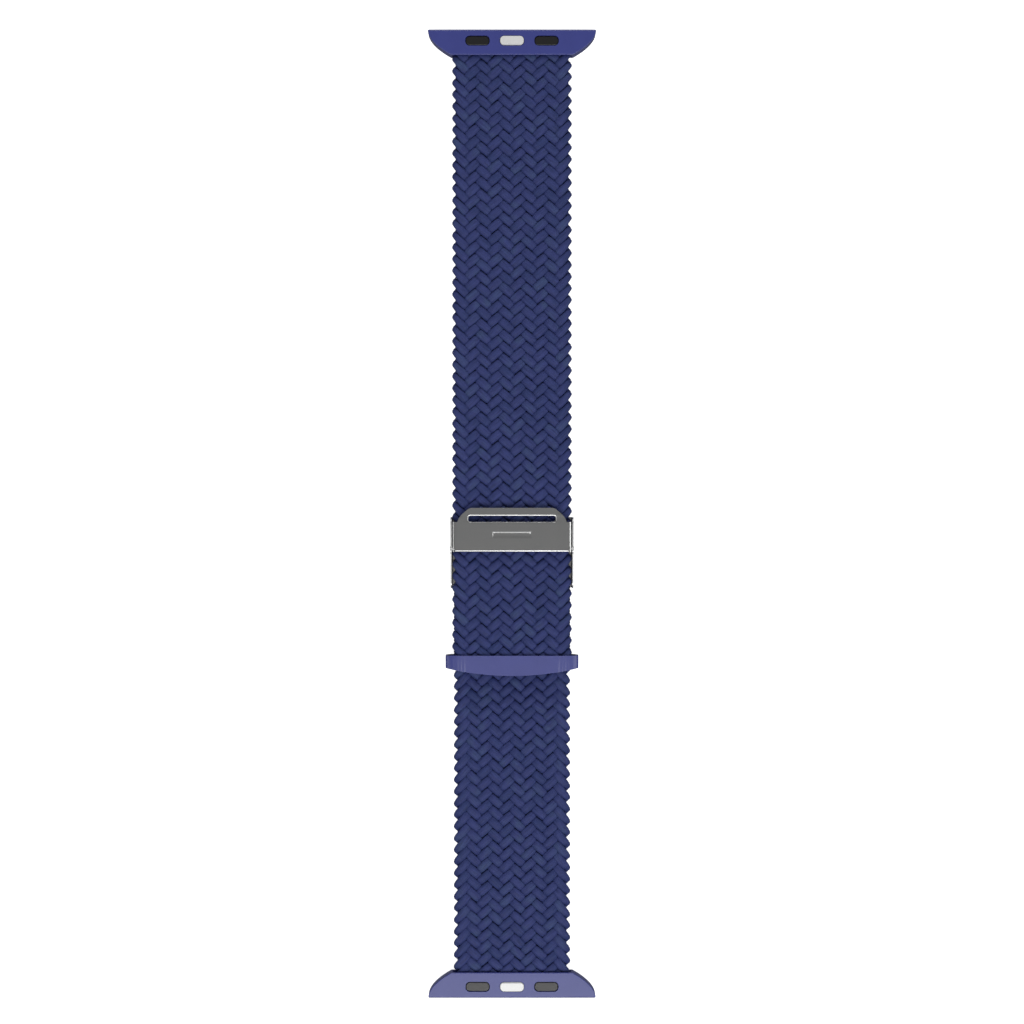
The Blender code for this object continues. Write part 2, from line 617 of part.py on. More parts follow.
def build():
    clear_scene()
    blue = material("anodised_blue", (0.06, 0.065, 0.22), 0.35, 0.9)
    steel = material("steel", (0.55, 0.55, 0.54), 0.28, 1.0)
    bright = material("bright_steel", (0.75, 0.75, 0.74), 0.2, 1.0)
    rubber = material("pad_rubber", (0.02, 0.02, 0.02), 0.7, 0.0)
    braid = material("braided_nylon", (0.045, 0.055, 0.16), 0.8, 0.0)

    root = body_empty("short_strap_frame")
    long_strap = body_empty("long_strap_frame", (0, KEEPER_TOP_Y, UPPER_STRAP_Z + STRAP_THICKNESS / 2))
    lever_axis = body_empty("lever_axis", (0, HINGE_Y, HINGE_Z))
    upper_bottom = UPPER_STRAP_Z + STRAP_THICKNESS / 2 - LUG_THICKNESS / 2
    upper_lock_y, lower_lock_y = (LUG_END[name] - SLOT_U for name in ("upper", "lower"))
    upper_lock = body_empty("upper_lock_axis", (0, upper_lock_y, upper_bottom))
    upper = Side("upper", 1, upper_bottom, long_strap, upper_lock)
    lower = Side("lower", -1, 0.0, root, body_empty("lower_lock_axis", (0, -lower_lock_y, 0)))
    bpy.context.view_layer.update()

    lower_strap = strap(lower, LOWER_STRAP_Z, LOWER_HALF_WIDTH, LOWER_STRAP_END_Y, braid)
    pierce(lower_strap, rivet_places(), RIVET_RADIUS + PIN_GAP, (0, UPPER_STRAP_Z))
    upper_strap = strap(upper, UPPER_STRAP_Z, UPPER_HALF_WIDTH, UPPER_STRAP_END_Y, braid)
    pierce(upper_strap, clamp_pin_places(), CLAMP_PIN_RADIUS + PIN_GAP, (GRIP_Z, LEVER_TOP_Z))
    for side in (upper, lower):
        lug(side, blue, steel, rubber, bright)

    buckle_base(steel, root)
    grip_plate(steel, root)
    rivets(steel, root)
    hinge_pin(steel, root)
    lever(steel, lever_axis)
    keeper_loop(blue, long_strap)
    keeper_clamp(steel, long_strap)


build()
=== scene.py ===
"""Looks of the braided watch band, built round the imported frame.

The helpers work in millimetres and make objects in metres. X runs across the band, +Y towards the
upper lug, +Z up. The finer lugs, latches, pads, buckle, lever, keeper and braids replace the CAD
nodes of the same places; the remaining nodes keep their shape and get materials.
"""

import math
from collections import namedtuple

import bmesh
import bpy
import numpy as np
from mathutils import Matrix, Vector


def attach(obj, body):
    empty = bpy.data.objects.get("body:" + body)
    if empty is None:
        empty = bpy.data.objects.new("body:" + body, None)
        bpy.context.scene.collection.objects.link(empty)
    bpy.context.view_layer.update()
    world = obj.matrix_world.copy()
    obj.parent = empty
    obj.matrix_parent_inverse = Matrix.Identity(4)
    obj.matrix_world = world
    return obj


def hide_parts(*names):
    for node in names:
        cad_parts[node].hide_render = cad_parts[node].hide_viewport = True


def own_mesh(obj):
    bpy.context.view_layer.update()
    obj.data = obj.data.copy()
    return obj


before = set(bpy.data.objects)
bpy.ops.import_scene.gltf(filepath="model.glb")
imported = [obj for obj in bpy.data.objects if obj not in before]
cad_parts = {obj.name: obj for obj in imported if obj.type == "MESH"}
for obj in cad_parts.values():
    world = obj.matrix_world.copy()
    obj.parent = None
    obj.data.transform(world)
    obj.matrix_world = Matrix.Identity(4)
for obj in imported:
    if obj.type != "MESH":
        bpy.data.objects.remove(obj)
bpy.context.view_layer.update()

MM = 0.001

# Levels and places shared by several pieces
LUG_END = {"upper": 89.0, "lower": 89.7}         # how far each lug reaches along Y
GAP = 0.1                    # clearance round a loose piece
PIN_GAP = 0.05               # clearance round a pin or rivet
LOWER_MIDDLE = 1.65          # middle levels of the two straps
UPPER_MIDDLE = 4.4
UPPER_STRAP_TOP = 5.45

# Braid
STRANDS = 21
COLUMN_STEP = {"upper": 1.045, "lower": 1.015}    # across, from one strand place to the next
ROW_STEP = 1.0825            # along, in the same step
SAMPLES = 4                  # rings per step
RING_SIDES = 10
FLOAT_WARP = 0.13            # turns the floats a little more across than the strands below them
CROSS_HEIGHT = 0.55          # how far a strand rises over and dips under the others
STRAND_WIDTH = 1.62
STRAND_HEIGHT = 0.98
Edge = namedtuple("Edge", "pull slope lag radius")         # how the outer columns close and turn back
EDGES = {"upper": Edge(0.805, 0.85, 0.15, 0.62), "lower": Edge(0.712, 1.0, 0.3, 0.70)}
PULL_FROM = 8.0              # strand place out from the middle where the columns start to close
TURN_FROM = 9.6              # strand place where the last turn begins
ROUND_FROM = 9.2             # distance across where a strand starts to become a round cord
ROUND_OVER = 0.9             # and the distance it takes
ROUND_EXTRA = 0.14           # how much higher the round cord stands
CORE_SLACK = 0.03
CORE_HALF_HEIGHT = 0.09
ROW_PHASE = {"upper": 0.0, "lower": -0.3}
BRAID_ENDS = {"upper": (-28.0, 85.4), "lower": (1.3, 86.1)}       # towards each strap's lug

# Buckle
HINGE = (-6.45, 6.2)
HINGE_PIN_RADIUS = 0.35
BARREL_RADIUS = 0.65
WALL_INNER_X = 11.07
WALL_THICKNESS = 0.25
BUCKLE_SPAN = (-13.8, -0.7)
BUCKLE_STEP_Y = -7.4
WALL_HIGH_Z = 6.9
WALL_LOW_Z = 5.2
FLOOR_THICKNESS = 0.5
RIVET_PLACES = [(-6.0, -10.2), (6.0, -10.2)]
RIVET_RADIUS = 0.8
RIVET_HEAD_RADIUS = 1.3

# Lever
LEVER_TOP_Z = 6.95
LEVER_THICKNESS = 0.6
LEVER_HALF_WIDTH = 10.97
LEVER_BEND = (1.05, 0.5)
LEVER_SKIRT_Z = 5.6
LEVER_SKIRT_Y = -1.6
LEVER_TIP_Y = 1.0
LEVER_TIP_HALF = 7.27
LEVER_TIP_RADIUS = 1.44
LEVER_FLANK = (9.8, -0.55)
LEVER_SHOULDER = (10.0, -1.5)
FINGER_SLOT = (-1.03, (8.0, 0.5), 0.35, 0.25)        # place along, half size, corner, rounded rim
TEETH_Y = (-5.75, -4.75)     # the bar under the lever that grips the strap
TEETH_BAR_HALF = 9.6
TEETH_BAR_Z = 5.85
TEETH_COUNT = 13
TEETH_PITCH = 1.5
TOOTH_HALF = 0.5
TOOTH_ROOT_Z = 6.0
SHADING_ROWS = (-6.83, 0.37, 21)                     # along Y: first row, step and count
LEVER_GROOVE = (-3.98, (3.55, 0.5), 0.1)             # place along, half size, depth

# Keeper
KEEPER_TOP_Y = -26.2
KEEPER_DEPTH = 3.7
KEEPER_END_DEPTH = 2.3
KEEPER_HALF_WIDTH = 12.25
KEEPER_WALL = 0.45
KEEPER_TOP_Z = 6.05
KEEPER_SOFT = (4.0, 1.35)    # upper corners, across and up
KEEPER_LOW_OUTER = 2.2       # lower corner radii, outside and inside
KEEPER_LOW_INNER = 1.4
KEEPER_POCKET_Y = -28.1
KEEPER_PINS = [(-6.0, -27.2), (6.0, -27.2)]

# Lugs; u is the distance in from a lug's outer end
LUG_THICKNESS = 3.3
LUG_DEPTH = 4.7
LUG_HALF = 15.5
LUG_NECK_HALF = 11.25
SLOT_U = 2.1                 # the middle of the three slots
SLOT_HALF = (2.25, 0.925)
SLOT_RADIUS = 0.8
SLOT_PITCH = 6.35
LUG_END_RADIUS = 0.4         # rounding of the outer end
LUG_RIM_RADIUS = 0.14        # rounding of the two faces' rims
SLOT_FLOOR = 2.0             # the latch's slot ends this far above the lug's underside
SPRING_POCKET = (2.7, 2.1)   # half width of the pocket under the latch, and its top
SOCKET_U = 3.35              # the strap's socket is open from here to the strap side
SOCKET_HALF = (11.05, 1.1)
DOWEL_U = 3.95
DOWEL_X = 9.0
DOWEL_RADIUS = 0.3
PAD_RECESS = 0.15            # how far a pad lies below the lug's face
LATCH_RISE = 0.15            # how far the latch stands above it
LATCH_RAMP_U = 0.62          # where the latch's slope begins, past its middle
LATCH_FLANGE = (2.55, 1.5, 2.05)                     # half width, and levels above the underside
LEAF = (2.2, 0.5, 0.12)      # half length, half width and thickness of the spring
LEAF_LEVELS = (0.5, 1.45)
PRESS = 0.44                 # how much thinner the clamped end of a strap is
PRESS_OVER = 0.3

Side = namedtuple("Side", "name sign bottom body lock")
UPPER = Side("upper", 1, 2.75, "long_strap", "upper_lock")
LOWER = Side("lower", -1, 0.0, "short_strap", "lower_lock")


# Outlines


def arc(centre, radii, start, end, steps):
    """Points along an elliptical arc, angles in degrees."""
    angles = [math.radians(start + (end - start) * i / steps) for i in range(steps + 1)]
    return [(centre[0] + radii[0] * math.cos(a), centre[1] + radii[1] * math.sin(a)) for a in angles]


def rounded_rectangle(centre, half, radius, steps=8):
    points = []
    for quarter, (sa, sb) in enumerate([(1, 1), (-1, 1), (-1, -1), (1, -1)]):
        corner = (centre[0] + sa * (half[0] - radius), centre[1] + sb * (half[1] - radius))
        points += arc(corner, (radius, radius), 90 * quarter, 90 * quarter + 90, steps)
    return points


def bowed(start, towards, end, steps):
    """Points along a curve that leaves start and reaches end aimed at the same point."""
    points = []
    for i in range(steps + 1):
        t = i / steps
        points.append(tuple((1 - t) ** 2 * a + 2 * t * (1 - t) * b + t * t * c
                            for a, b, c in zip(start, towards, end)))
    return points


def mirrored(right):
    return right + [(-a, b) for a, b in reversed(right)]


def inset(outline, distance):
    """A closed outline moved inwards by a distance, corner by corner."""
    points = [Vector(p) for p in outline]
    area = sum(a.x * b.y - b.x * a.y for a, b in zip(points, points[1:] + points[:1]))
    turn = 1 if area > 0 else -1
    moved = []
    for i, point in enumerate(points):
        before = (point - points[i - 1]).normalized()
        after = (points[(i + 1) % len(points)] - point).normalized()
        normals = [Vector((-d.y, d.x)) * turn for d in (before, after)]
        middle = (normals[0] + normals[1]).normalized()
        moved.append(point + middle * distance / max(0.3, middle.dot(normals[0])))
    return [tuple(p) for p in moved]


# Solids


def lofted(rings):
    """A closed solid through rings of (x, y, z) points."""
    mesh = bmesh.new()
    made = [[mesh.verts.new(point) for point in ring] for ring in rings]
    for low, high in zip(made, made[1:]):
        for i in range(len(low)):
            j = (i + 1) % len(low)
            mesh.faces.new((low[i], low[j], high[j], high[i]))
    mesh.faces.new(made[0])
    mesh.faces.new(made[-1])
    bmesh.ops.recalc_face_normals(mesh, faces=mesh.faces)
    return mesh


def swept(outline, low, high, axis="Z"):
    """An outline of (x, y) points swept along Z, of (x, z) along Y or of (y, z) along X."""
    def place(a, b, level):
        return {"Z": (a, b, level), "Y": (a, level, b), "X": (level, a, b)}[axis]

    return lofted([[place(a, b, level) for a, b in outline] for level in (low, high)])


def cuboid(x, y, z):
    return swept([(x[0], y[0]), (x[1], y[0]), (x[1], y[1]), (x[0], y[1])], z[0], z[1])


def rod(centre, radius, span, axis="Z", sides=48):
    return swept(arc(centre, (radius, radius), 0, 360 - 360 / sides, sides - 1), *span, axis)


def rounded_plate(outline, low, high, radius, steps=5):
    """An outline swept along Z with its upper and lower edges rounded."""
    rings = []
    for level, sign in ((low + radius, -1), (high - radius, 1)):
        angles = [90 * i / steps for i in range(steps + 1)]
        for angle in (reversed(angles) if sign < 0 else angles):
            shift = radius * (1 - math.cos(math.radians(angle)))
            z = level + sign * radius * math.sin(math.radians(angle))
            rings.append([(x, y, z) for x, y in inset(outline, shift)])
    return lofted(rings)


def flared_cutter(outline, low, high, radius, steps=6):
    """Cuts an outline whose rim at high comes out rounded."""
    rings = [[(x, y, low) for x, y in outline]]
    for i in range(steps + 1):
        angle = math.radians(90 * i / steps)
        grown = inset(outline, -radius * (1 - math.cos(angle)))
        rings.append([(x, y, high - radius * (1 - math.sin(angle))) for x, y in grown])
    rings.append([(x, y, high + 1.0) for x, y in inset(outline, -radius)])
    return lofted(rings)


def new_object(name, mesh):
    data = bpy.data.meshes.new(name)
    for vert in mesh.verts:
        vert.co *= MM
    mesh.to_mesh(data)
    mesh.free()
    obj = bpy.data.objects.new(name, data)
    bpy.context.scene.collection.objects.link(obj)
    return obj


def applied(obj):
    """Turns the object's modifiers into its mesh."""
    graph = bpy.context.evaluated_depsgraph_get()
    graph.update()
    data = bpy.data.meshes.new_from_object(obj.evaluated_get(graph))
    old = obj.data
    obj.modifiers.clear()
    obj.data = data
    bpy.data.meshes.remove(old)
    data.name = obj.name


def boolean(obj, mesh, operation="DIFFERENCE"):
    helper = new_object("helper", mesh)
    modifier = obj.modifiers.new("cut", "BOOLEAN")
    modifier.operation = operation
    modifier.object = helper
    modifier.solver = "EXACT"
    applied(obj)
    data = helper.data
    bpy.data.objects.remove(helper)
    bpy.data.meshes.remove(data)


def pierce(obj, places, radius, span):
    for centre in places:
        boolean(obj, rod(centre, radius, span))


def eased(obj, width, segments=3, angle=38, rows=()):
    """Rounds the sharp edges and shades the flats flat; rows across Y keep long shading local."""
    welded = bmesh.new()
    welded.from_mesh(obj.data)
    bmesh.ops.remove_doubles(welded, verts=welded.verts, dist=0.002 * MM)
    bmesh.ops.dissolve_limit(welded, angle_limit=math.radians(0.5), verts=welded.verts,
                             edges=welded.edges)
    for y in rows:
        everything = welded.verts[:] + welded.edges[:] + welded.faces[:]
        bmesh.ops.bisect_plane(welded, geom=everything, plane_co=(0, y * MM, 0), plane_no=(0, 1, 0))
    welded.to_mesh(obj.data)
    welded.free()
    modifier = obj.modifiers.new("edge", "BEVEL")
    modifier.width = width * MM
    modifier.segments = segments
    modifier.limit_method = "ANGLE"
    modifier.angle_limit = math.radians(angle)
    modifier.use_clamp_overlap = True
    applied(obj)
    obj.data.shade_smooth()
    obj.modifiers.new("flats", "WEIGHTED_NORMAL").keep_sharp = False
    applied(obj)


def dressed(obj, surface, body, slot, *nodes):
    """Gives a finished piece its material and body, and hides the nodes that it stands for; the slot is
    not used.
    """
    obj.data.materials.clear()
    obj.data.materials.append(surface)
    for face in obj.data.polygons:
        face.material_index = 0
    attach(obj, body)
    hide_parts(*nodes)
    return obj


# Materials


class Surface:
    """A small builder for node materials."""

    def __init__(self, name, roughness, metallic=0.0):
        self.made = bpy.data.materials.new(name)
        self.made.use_nodes = True
        self.tree = self.made.node_tree
        self.shader = self.tree.nodes["Principled BSDF"]
        self.set("Roughness", roughness)
        self.set("Metallic", metallic)

    def set(self, socket, value):
        self.shader.inputs[socket].default_value = value

    def link(self, source, target):
        self.tree.links.new(source, target)

    def node(self, kind, **inputs):
        made = self.tree.nodes.new(kind)
        for name, value in inputs.items():
            self.feed(made.inputs[name.replace("_", " ")], value)
        return made

    def feed(self, socket, value):
        if isinstance(value, bpy.types.NodeSocket):
            self.link(value, socket)
        else:
            socket.default_value = value

    def place(self):
        """Position in millimetres, fixed to the piece."""
        coordinate = self.node("ShaderNodeTexCoord").outputs["Object"]
        return self.scaled(coordinate, (1000, 1000, 1000))

    def attribute(self, name):
        made = self.node("ShaderNodeAttribute")
        made.attribute_name = name
        return made.outputs["Vector"]

    def scaled(self, vector, factors):
        made = self.node("ShaderNodeVectorMath")
        made.operation = "MULTIPLY"
        self.feed(made.inputs[0], vector)
        made.inputs[1].default_value = factors
        return made.outputs[0]

    def noise(self, vector, scale, detail=3.0, roughness=0.55):
        made = self.node("ShaderNodeTexNoise", Vector=vector, Scale=scale, Detail=detail,
                         Roughness=roughness)
        return made.outputs["Fac"]

    def ramp(self, factor, stops):
        made = self.node("ShaderNodeValToRGB", Fac=factor)
        elements = made.color_ramp.elements
        while len(elements) < len(stops):
            elements.new(0.5)
        for element, (position, colour) in zip(elements, stops):
            element.position = position
            element.color = (*colour, 1.0)
        return made.outputs["Color"]

    def span(self, factor, low, high):
        """Maps 0..1 to low..high."""
        made = self.node("ShaderNodeMapRange")
        self.feed(made.inputs["Value"], factor)
        made.inputs["To Min"].default_value = low
        made.inputs["To Max"].default_value = high
        return made.outputs["Result"]

    def mixed(self, kind, factor, a, b):
        made = self.node("ShaderNodeMix")
        made.data_type = "RGBA"
        made.blend_type = kind
        self.feed(made.inputs["Factor"], factor)
        self.feed(made.inputs[6], a)
        self.feed(made.inputs[7], b)
        return made.outputs[2]

    def bump(self, heights):
        """Stacks bumps given as (height, distance in millimetres, strength)."""
        normal = None
        for height, distance, strength in heights:
            made = self.node("ShaderNodeBump", Height=height, Distance=distance * MM,
                             Strength=strength)
            if normal is not None:
                self.link(normal, made.inputs["Normal"])
            normal = made.outputs["Normal"]
        self.link(normal, self.shader.inputs["Normal"])


def braid_surface():
    """Dyed nylon yarn: filaments along each strand, a little colour change from strand to strand."""
    made = Surface("braided_nylon", 0.62)
    strand = made.attribute("strand")
    filaments = made.noise(made.scaled(strand, (0.55, 9.0, 3.1)), 1.0, 4.0, 0.65)
    patches = made.noise(made.scaled(strand, (0.3, 0.4, 7.3)), 1.0, 2.0, 0.5)
    colour = made.ramp(patches, [(0.3, (0.026, 0.042, 0.155)), (0.52, (0.036, 0.049, 0.184)),
                                 (0.75, (0.043, 0.069, 0.186))])
    streaks = made.ramp(filaments, [(0.3, (0.62, 0.62, 0.66)), (0.62, (1.12, 1.12, 1.1))])
    made.feed(made.shader.inputs["Base Color"], made.mixed("MULTIPLY", 1.0, colour, streaks))
    made.feed(made.shader.inputs["Roughness"], made.span(filaments, 0.5, 0.75))
    made.set("Specular IOR Level", 0.3)
    made.set("Sheen Weight", 0.05)
    made.set("Sheen Roughness", 0.4)
    made.set("Sheen Tint", (0.5, 0.6, 1.0, 1.0))
    fine = made.noise(made.scaled(strand, (1.2, 26.0, 3.1)), 1.0, 2.0, 0.5)
    made.bump([(filaments, 0.05, 0.6), (fine, 0.02, 0.5)])
    return made.made


def anodised_surface():
    """Bead-blasted aluminium with a deep blue anodised layer."""
    made = Surface("anodised_blue", 0.42)
    place = made.place()
    grain = made.noise(place, 9.0, 2.0, 0.6)
    cloud = made.noise(place, 0.35, 3.0, 0.5)
    colour = made.ramp(cloud, [(0.35, (0.016, 0.028, 0.250)), (0.7, (0.019, 0.032, 0.266))])
    made.feed(made.shader.inputs["Base Color"], colour)
    made.feed(made.shader.inputs["Roughness"], made.span(grain, 0.38, 0.46))
    made.set("Specular IOR Level", 1.0)
    made.set("Coat Weight", 0.8)
    made.set("Coat Roughness", 0.41)
    made.bump([(grain, 0.006, 0.5)])
    return made.made


def steel_surface(name, roughness):
    """Satin steel: fine blasted grain and faint handling marks."""
    made = Surface(name, roughness, 1.0)
    place = made.place()
    grain = made.noise(place, 11.0, 2.0, 0.6)
    brushed = made.noise(made.scaled(place, (0.4, 6.0, 6.0)), 1.6, 3.0, 0.6)
    smudge = made.noise(place, 0.25, 4.0, 0.55)
    colour = made.ramp(smudge, [(0.3, (0.70, 0.705, 0.705)), (0.7, (0.73, 0.73, 0.725))])
    made.feed(made.shader.inputs["Base Color"], colour)
    made.feed(made.shader.inputs["Roughness"], made.span(brushed, roughness - 0.015, roughness + 0.015))
    made.bump([(grain, 0.001, 0.4), (brushed, 0.001, 0.3)])
    return made.made


def bright_surface():
    """Pale satin latch metal with fine wear."""
    made = Surface("pale_latch", 0.36, 0.22)
    place = made.place()
    wear = made.noise(place, 3.0, 4.0, 0.6)
    colour = made.ramp(wear, [(0.3, (0.9, 0.905, 0.9)), (0.7, (0.95, 0.95, 0.94))])
    made.feed(made.shader.inputs["Base Color"], colour)
    made.feed(made.shader.inputs["Roughness"], made.span(wear, 0.32, 0.42))
    made.bump([(made.noise(place, 14.0, 2.0, 0.5), 0.003, 0.4)])
    return made.made


def rubber_surface():
    made = Surface("pad_rubber", 0.42)
    place = made.place()
    grain = made.noise(place, 8.0, 3.0, 0.6)
    colour = made.ramp(grain, [(0.3, (0.002, 0.002, 0.002)), (0.7, (0.005, 0.004, 0.004))])
    made.feed(made.shader.inputs["Base Color"], colour)
    made.feed(made.shader.inputs["Roughness"], made.span(grain, 0.28, 0.34))
    made.set("Specular IOR Level", 1.0)
    made.bump([(grain, 0.008, 0.5)])
    return made.made


# Braids


def strand_line(side, phase):
    """One strand's place across (in strand places), height (-1 to 1) and lag (mm) along its zigzag.

    It runs over two strands and under two. In odd columns the strands that go right lie on top. At
    each edge it comes up over the rim, turns sharply and rolls under.
    """
    last = STRANDS - 1
    phase = np.mod(phase, 2 * STRANDS)
    going_right = (phase < last + 0.5) | (phase > 2 * STRANDS - 0.5)
    across = np.where(going_right, np.where(phase > STRANDS + 1, phase - 2 * STRANDS, phase),
                      2 * STRANDS - 1 - phase)
    column = np.clip(across / 2, 0, last / 2 - 1e-6)
    within = column - np.floor(column)
    rise = np.sin(np.pi / 2 * np.minimum(np.minimum(within, 1 - within) / 0.2, 1.0))
    odd = np.floor(column) % 2 == 1
    height = np.where(odd == going_right, rise, -rise)
    past_edge = np.mod(phase - last - 0.5 + STRANDS / 2, STRANDS) - STRANDS / 2
    height = np.where(np.abs(past_edge) < 0.6, -np.sin(np.pi * past_edge / 1.2), height)
    lag = EDGES[side.name].lag * np.sin(np.pi * np.clip(past_edge, 0, 3) / 3)
    return across, height, lag


def strand_x(side, across):
    """The outer columns are drawn in; the last turn stays steep, so that each loop has a tip."""
    edge = EDGES[side.name]
    place = across - (STRANDS - 1) / 2
    reach = np.abs(place)
    drawn = np.minimum(reach, PULL_FROM)
    drawn += edge.pull * np.clip(reach - PULL_FROM, 0, TURN_FROM - PULL_FROM)
    drawn += edge.slope * np.maximum(reach - TURN_FROM, 0)
    return COLUMN_STEP[side.name] * np.sign(place) * drawn


def smoothed(values, window):
    kernel = np.hanning(window + 2)[1:-1]
    kernel /= kernel.sum()
    pad = window // 2
    return np.convolve(np.pad(values, pad, mode="edge"), kernel, mode="same")[pad:-pad]


def wander(steps, seed, reach):
    """A slow, small drift along a strand."""
    return reach * (np.sin(steps / 5.3 + 2.1 * seed) + 0.6 * np.sin(steps / 2.3 + 4.7 * seed)) / 1.6


def strand_rings(side, strand, low, high, middle):
    """Ring points (mm) of one strand from below low to above high, and their strand coordinates."""
    fine = 4
    density = SAMPLES * fine
    first = math.floor((low - 1.5) / ROW_STEP * density) / density
    steps = first + np.arange(int((high - low + 3.0) / ROW_STEP * density)) / density
    across, height, lag = strand_line(side, steps + 2 * strand + ROW_PHASE[side.name])
    x = smoothed(strand_x(side, across), int(0.34 * density) | 1)
    height = smoothed(height, int(0.3 * density) | 1)
    y = ROW_STEP * steps - FLOAT_WARP * np.cos(np.pi / 2 * across) - lag
    y += wander(steps, strand, 0.07)
    line = np.stack([x, y, CROSS_HEIGHT * height], 1)
    tangent = np.gradient(line, axis=0)
    tangent = np.stack([smoothed(tangent[:, k], int(0.6 * density) | 1) for k in range(3)], 1)
    tangent /= np.linalg.norm(tangent, axis=1)[:, None]
    line, tangent, height, steps = (values[::fine] for values in (line, tangent, height, steps))
    normal = np.array([0.0, 0.0, 1.0]) - tangent * tangent[:, 2:3]
    normal /= np.linalg.norm(normal, axis=1)[:, None]
    across_strand = np.cross(tangent, normal)
    half_width = STRAND_WIDTH / 2 * (0.9 + 0.1 * np.abs(height) ** 0.7)
    half_width *= 1 + wander(steps, strand + 0.5, 0.035)
    turning = np.clip((np.abs(line[:, 0]) - ROUND_FROM) / ROUND_OVER, 0, 1)
    half_width += (EDGES[side.name].radius - half_width) * turning
    half_height = STRAND_HEIGHT / 2 * (1 + ROUND_EXTRA * turning)
    angles = np.arange(RING_SIDES) * 2 * np.pi / RING_SIDES
    a = np.sign(np.cos(angles)) * np.abs(np.cos(angles)) ** 0.75
    b = np.sign(np.sin(angles)) * np.abs(np.sin(angles)) ** 0.75
    rings = (line[:, None] + across_strand[:, None] * (half_width[:, None] * a)[..., None]
             + normal[:, None] * (half_height[:, None] * b)[..., None])
    rings[..., 1] *= side.sign
    rings[..., 2] += middle
    along = np.concatenate([[0], np.cumsum(np.linalg.norm(np.diff(line, axis=0), axis=1))])
    coordinate = np.empty(rings.shape)
    coordinate[..., 0] = along[:, None]
    coordinate[..., 1] = (np.abs(angles - np.pi) / np.pi * 2.0)[None, :]
    coordinate[..., 2] = strand
    return rings, coordinate


def core_rings(side, column, low, high, middle):
    """A flat elastic yarn that runs straight along one column, between the crossing strands."""
    centre = COLUMN_STEP[side.name] * (2 * column + 1 - (STRANDS - 1) / 2)
    half = COLUMN_STEP[side.name] - CORE_SLACK
    section = [(centre + a * half, middle + b * CORE_HALF_HEIGHT)
               for a, b in ((-1, -1), (1, -1), (1, 1), (-1, 1))]
    spans = (side.sign * (low - 1.0), side.sign * (high + 1.0))
    rings = np.array([[(x, y, z) for x, z in section] for y in spans])
    coordinate = np.zeros(rings.shape)
    coordinate[..., 0] = rings[..., 1]
    coordinate[..., 2] = STRANDS + column
    return rings, coordinate


def braid(side, middle, surface):
    """All the strands and core yarns of one strap as closed tubes, cut square at both ends."""
    low, high = BRAID_ENDS[side.name]
    tubes = [strand_rings(side, strand, low, high, middle) for strand in range(STRANDS)]
    tubes += [core_rings(side, column, low, high, middle) for column in range(STRANDS // 2)]
    points, marks, faces, start = [], [], [], 0
    for rings, coordinate in tubes:
        count, sides = rings.shape[:2]
        points.append(rings.reshape(-1, 3))
        marks.append(coordinate.reshape(-1, 3))
        for i in range(count - 1):
            for k in range(sides):
                a, b = start + i * sides + k, start + i * sides + (k + 1) % sides
                faces.append((a, b, b + sides, a + sides))
        start += count * sides
    data = bpy.data.meshes.new(f"{side.name}_braid")
    data.from_pydata((np.concatenate(points) * MM).tolist(), [], faces)
    attribute = data.attributes.new("strand", "FLOAT_VECTOR", "POINT")
    attribute.data.foreach_set("vector", np.concatenate(marks).astype(np.float32).ravel())
    obj = bpy.data.objects.new(data.name, data)
    bpy.context.scene.collection.objects.link(obj)
    cut_square(obj, *sorted((side.sign * low, side.sign * high)))
    flatten_end(obj, side, middle)
    data.shade_smooth()
    return dressed(obj, surface, side.body, "braid", f"{side.name}_strap")


def cut_square(obj, low, high):
    mesh = bmesh.new()
    mesh.from_mesh(obj.data)
    for y, direction in ((low, -1), (high, 1)):
        everything = mesh.verts[:] + mesh.edges[:] + mesh.faces[:]
        bmesh.ops.bisect_plane(mesh, geom=everything, plane_co=(0, y * MM, 0),
                               plane_no=(0, direction, 0), clear_outer=True)
        rim = [edge for edge in mesh.edges if edge.is_boundary
               and all(abs(v.co.y - y * MM) < 1e-6 for v in edge.verts)]
        bmesh.ops.holes_fill(mesh, edges=rim)
    bmesh.ops.recalc_face_normals(mesh, faces=mesh.faces)
    mesh.to_mesh(obj.data)
    mesh.free()


def flatten_end(obj, side, middle):
    """Presses the last millimetre thin, where the strap is clamped in its lug."""
    for vert in obj.data.vertices:
        u = LUG_END[side.name] - side.sign * vert.co.y / MM
        t = min(1.0, max(0.0, (LUG_DEPTH - u) / PRESS_OVER))
        vert.co.z = middle * MM + (vert.co.z - middle * MM) * (1 - PRESS * t * t * (3 - 2 * t))


# Lugs


def lug_y(side, u):
    return side.sign * (LUG_END[side.name] - u)


def y_span(side, u_low, u_high):
    return sorted((lug_y(side, u_low), lug_y(side, u_high)))


def lug_outline(side):
    steps, corner = 40, 0.32
    flank = [corner + (LUG_DEPTH - corner) * i / steps for i in range(steps + 1)]
    right = [(LUG_HALF - corner + x, lug_y(side, corner - u))
             for x, u in arc((0, 0), (corner, corner), 90, 15, 5)]
    right += [(LUG_HALF - (LUG_HALF - LUG_NECK_HALF) * (u / LUG_DEPTH) ** 2, lug_y(side, u))
              for u in flank]
    return mirrored(right)


def slot_outline(side, x, shrink=0.0):
    half = (SLOT_HALF[0] - shrink, SLOT_HALF[1] - shrink)
    return rounded_rectangle((x, lug_y(side, SLOT_U)), half, SLOT_RADIUS - shrink)


